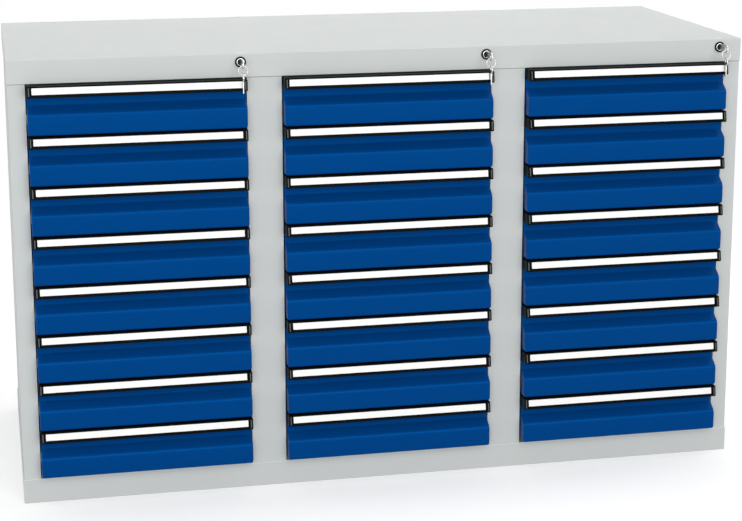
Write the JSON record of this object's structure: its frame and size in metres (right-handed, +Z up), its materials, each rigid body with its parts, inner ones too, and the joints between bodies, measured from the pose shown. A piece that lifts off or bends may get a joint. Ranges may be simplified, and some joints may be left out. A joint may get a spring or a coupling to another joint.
{
  "type": "drawer cabinet",
  "caption": "Low wide sheet-metal cabinet with columns of shallow drawers, full-width label handle strips and a cam lock for each column.",
  "frame": {"origin": "centre of the carcase footprint on the floor, under the middle of the plinth", "axes": "+Z up, drawers open towards -Y, +X to the right seen from the front"},
  "size_m": [1.5, 0.6454, 0.9],
  "materials": {
    "grey_paint": "satin powder coat",
    "blue_paint": "satin powder coat",
    "zinc_steel": "zinc plated",
    "lock_chrome": "polished",
    "key_nickel": "nickel plated"
  },
  "bodies": {
    "carcase": {"top_cover": "grey_paint", "base_plinth": "grey_paint", "bottom_panels": "grey_paint", "left_side_panel": "grey_paint", "right_side_panel": "grey_paint", "left_partition": "grey_paint", "right_partition": "grey_paint", "back_panel": "grey_paint", "bar_guides": "zinc_steel", "lock_nuts": "zinc_steel", "runners_a": "zinc_steel", "runners_b": "zinc_steel", "runners_c": "zinc_steel", "lock_housing_a": "lock_chrome", "lock_housing_b": "lock_chrome", "lock_housing_c": "lock_chrome"},
    "drawer_a1": {"drawer_a1": "blue_paint"},
    "drawer_a2": {"drawer_a2": "blue_paint"},
    "drawer_a3": {"drawer_a3": "blue_paint"},
    "drawer_a4": {"drawer_a4": "blue_paint"},
    "drawer_a5": {"drawer_a5": "blue_paint"},
    "drawer_a6": {"drawer_a6": "blue_paint"},
    "drawer_a7": {"drawer_a7": "blue_paint"},
    "drawer_a8": {"drawer_a8": "blue_paint"},
    "lock_a": {"lock_plug_a": "lock_chrome", "lock_cam_a": "zinc_steel", "key_a": "key_nickel"},
    "locking_bar_a": {"locking_bar_a": "zinc_steel"},
    "key_ring_a": {"key_ring_a": "key_nickel"},
    "spare_key_a": {"spare_key_a": "key_nickel"},
    "drawer_b1": {"drawer_b1": "blue_paint"},
    "drawer_b2": {"drawer_b2": "blue_paint"},
    "drawer_b3": {"drawer_b3": "blue_paint"},
    "drawer_b4": {"drawer_b4": "blue_paint"},
    "drawer_b5": {"drawer_b5": "blue_paint"},
    "drawer_b6": {"drawer_b6": "blue_paint"},
    "drawer_b7": {"drawer_b7": "blue_paint"},
    "drawer_b8": {"drawer_b8": "blue_paint"},
    "lock_b": {"lock_plug_b": "lock_chrome", "lock_cam_b": "zinc_steel", "key_b": "key_nickel"},
    "locking_bar_b": {"locking_bar_b": "zinc_steel"},
    "key_ring_b": {"key_ring_b": "key_nickel"},
    "spare_key_b": {"spare_key_b": "key_nickel"},
    "drawer_c1": {"drawer_c1": "blue_paint"},
    "drawer_c2": {"drawer_c2": "blue_paint"},
    "drawer_c3": {"drawer_c3": "blue_paint"},
    "drawer_c4": {"drawer_c4": "blue_paint"},
    "drawer_c5": {"drawer_c5": "blue_paint"},
    "drawer_c6": {"drawer_c6": "blue_paint"},
    "drawer_c7": {"drawer_c7": "blue_paint"},
    "drawer_c8": {"drawer_c8": "blue_paint"},
    "lock_c": {"lock_plug_c": "lock_chrome", "lock_cam_c": "zinc_steel", "key_c": "key_nickel"},
    "locking_bar_c": {"locking_bar_c": "zinc_steel"},
    "key_ring_c": {"key_ring_c": "key_nickel"},
    "spare_key_c": {"spare_key_c": "key_nickel"}
  },
  "joints": [
    {"name": "drawer_a1_slide", "type": "slide", "parent": "carcase", "child": "drawer_a1", "axis": [0, -1, 0], "range_m": [0, 0.42]},
    {"name": "drawer_a2_slide", "type": "slide", "parent": "carcase", "child": "drawer_a2", "axis": [0, -1, 0], "range_m": [0, 0.42]},
    {"name": "drawer_a3_slide", "type": "slide", "parent": "carcase", "child": "drawer_a3", "axis": [0, -1, 0], "range_m": [0, 0.42]},
    {"name": "drawer_a4_slide", "type": "slide", "parent": "carcase", "child": "drawer_a4", "axis": [0, -1, 0], "range_m": [0, 0.42]},
    {"name": "drawer_a5_slide", "type": "slide", "parent": "carcase", "child": "drawer_a5", "axis": [0, -1, 0], "range_m": [0, 0.42]},
    {"name": "drawer_a6_slide", "type": "slide", "parent": "carcase", "child": "drawer_a6", "axis": [0, -1, 0], "range_m": [0, 0.42]},
    {"name": "drawer_a7_slide", "type": "slide", "parent": "carcase", "child": "drawer_a7", "axis": [0, -1, 0], "range_m": [0, 0.42]},
    {"name": "drawer_a8_slide", "type": "slide", "parent": "carcase", "child": "drawer_a8", "axis": [0, -1, 0], "range_m": [0, 0.42]},
    {"name": "lock_a_turn", "type": "hinge", "parent": "carcase", "child": "lock_a", "pos_m": [-0.297, -0.3032, 0.883], "axis": [0, 1, 0], "range_deg": [0, 90]},
    {"name": "locking_bar_a_lift", "type": "slide", "parent": "carcase", "child": "locking_bar_a", "axis": [0, 0, 1], "range_m": [0, 0.01301]},
    {"name": "key_ring_a_hang", "type": "hinge", "parent": "lock_a", "child": "key_ring_a", "pos_m": [-0.297, -0.3369, 0.8765], "axis": [0, 1, 0], "range_deg": [-90, 0]},
    {"name": "spare_key_a_swing", "type": "hinge", "parent": "key_ring_a", "child": "spare_key_a", "pos_m": [-0.297, -0.3369, 0.8616], "axis": [-1, 0, 0], "range_deg": [0, 80]},
    {"name": "drawer_b1_slide", "type": "slide", "parent": "carcase", "child": "drawer_b1", "axis": [0, -1, 0], "range_m": [0, 0.42]},
    {"name": "drawer_b2_slide", "type": "slide", "parent": "carcase", "child": "drawer_b2", "axis": [0, -1, 0], "range_m": [0, 0.42]},
    {"name": "drawer_b3_slide", "type": "slide", "parent": "carcase", "child": "drawer_b3", "axis": [0, -1, 0], "range_m": [0, 0.42]},
    {"name": "drawer_b4_slide", "type": "slide", "parent": "carcase", "child": "drawer_b4", "axis": [0, -1, 0], "range_m": [0, 0.42]},
    {"name": "drawer_b5_slide", "type": "slide", "parent": "carcase", "child": "drawer_b5", "axis": [0, -1, 0], "range_m": [0, 0.42]},
    {"name": "drawer_b6_slide", "type": "slide", "parent": "carcase", "child": "drawer_b6", "axis": [0, -1, 0], "range_m": [0, 0.42]},
    {"name": "drawer_b7_slide", "type": "slide", "parent": "carcase", "child": "drawer_b7", "axis": [0, -1, 0], "range_m": [0, 0.42]},
    {"name": "drawer_b8_slide", "type": "slide", "parent": "carcase", "child": "drawer_b8", "axis": [0, -1, 0], "range_m": [0, 0.42]},
    {"name": "lock_b_turn", "type": "hinge", "parent": "carcase", "child": "lock_b", "pos_m": [0.203, -0.3032, 0.883], "axis": [0, 1, 0], "range_deg": [0, 90]},
    {"name": "locking_bar_b_lift", "type": "slide", "parent": "carcase", "child": "locking_bar_b", "axis": [0, 0, 1], "range_m": [0, 0.01301]},
    {"name": "key_ring_b_hang", "type": "hinge", "parent": "lock_b", "child": "key_ring_b", "pos_m": [0.203, -0.3369, 0.8765], "axis": [0, 1, 0], "range_deg": [-90, 0]},
    {"name": "spare_key_b_swing", "type": "hinge", "parent": "key_ring_b", "child": "spare_key_b", "pos_m": [0.203, -0.3369, 0.8616], "axis": [-1, 0, 0], "range_deg": [0, 80]},
    {"name": "drawer_c1_slide", "type": "slide", "parent": "carcase", "child": "drawer_c1", "axis": [0, -1, 0], "range_m": [0, 0.42]},
    {"name": "drawer_c2_slide", "type": "slide", "parent": "carcase", "child": "drawer_c2", "axis": [0, -1, 0], "range_m": [0, 0.42]},
    {"name": "drawer_c3_slide", "type": "slide", "parent": "carcase", "child": "drawer_c3", "axis": [0, -1, 0], "range_m": [0, 0.42]},
    {"name": "drawer_c4_slide", "type": "slide", "parent": "carcase", "child": "drawer_c4", "axis": [0, -1, 0], "range_m": [0, 0.42]},
    {"name": "drawer_c5_slide", "type": "slide", "parent": "carcase", "child": "drawer_c5", "axis": [0, -1, 0], "range_m": [0, 0.42]},
    {"name": "drawer_c6_slide", "type": "slide", "parent": "carcase", "child": "drawer_c6", "axis": [0, -1, 0], "range_m": [0, 0.42]},
    {"name": "drawer_c7_slide", "type": "slide", "parent": "carcase", "child": "drawer_c7", "axis": [0, -1, 0], "range_m": [0, 0.42]},
    {"name": "drawer_c8_slide", "type": "slide", "parent": "carcase", "child": "drawer_c8", "axis": [0, -1, 0], "range_m": [0, 0.42]},
    {"name": "lock_c_turn", "type": "hinge", "parent": "carcase", "child": "lock_c", "pos_m": [0.703, -0.3032, 0.883], "axis": [0, 1, 0], "range_deg": [0, 90]},
    {"name": "locking_bar_c_lift", "type": "slide", "parent": "carcase", "child": "locking_bar_c", "axis": [0, 0, 1], "range_m": [0, 0.01301]},
    {"name": "key_ring_c_hang", "type": "hinge", "parent": "lock_c", "child": "key_ring_c", "pos_m": [0.703, -0.3369, 0.8765], "axis": [0, 1, 0], "range_deg": [-90, 0]},
    {"name": "spare_key_c_swing", "type": "hinge", "parent": "key_ring_c", "child": "spare_key_c", "pos_m": [0.703, -0.3369, 0.8616], "axis": [-1, 0, 0], "range_deg": [0, 80]}
  ],
  "couplings": [
    {"joint": "lock_a_turn", "follows": "locking_bar_a_lift", "rad_per_m": 120.73},
    {"joint": "key_ring_a_hang", "follows": "locking_bar_a_lift", "rad_per_m": -120.73},
    {"joint": "lock_b_turn", "follows": "locking_bar_b_lift", "rad_per_m": 120.73},
    {"joint": "key_ring_b_hang", "follows": "locking_bar_b_lift", "rad_per_m": -120.73},
    {"joint": "lock_c_turn", "follows": "locking_bar_c_lift", "rad_per_m": 120.73},
    {"joint": "key_ring_c_hang", "follows": "locking_bar_c_lift", "rad_per_m": -120.73}
  ]
}
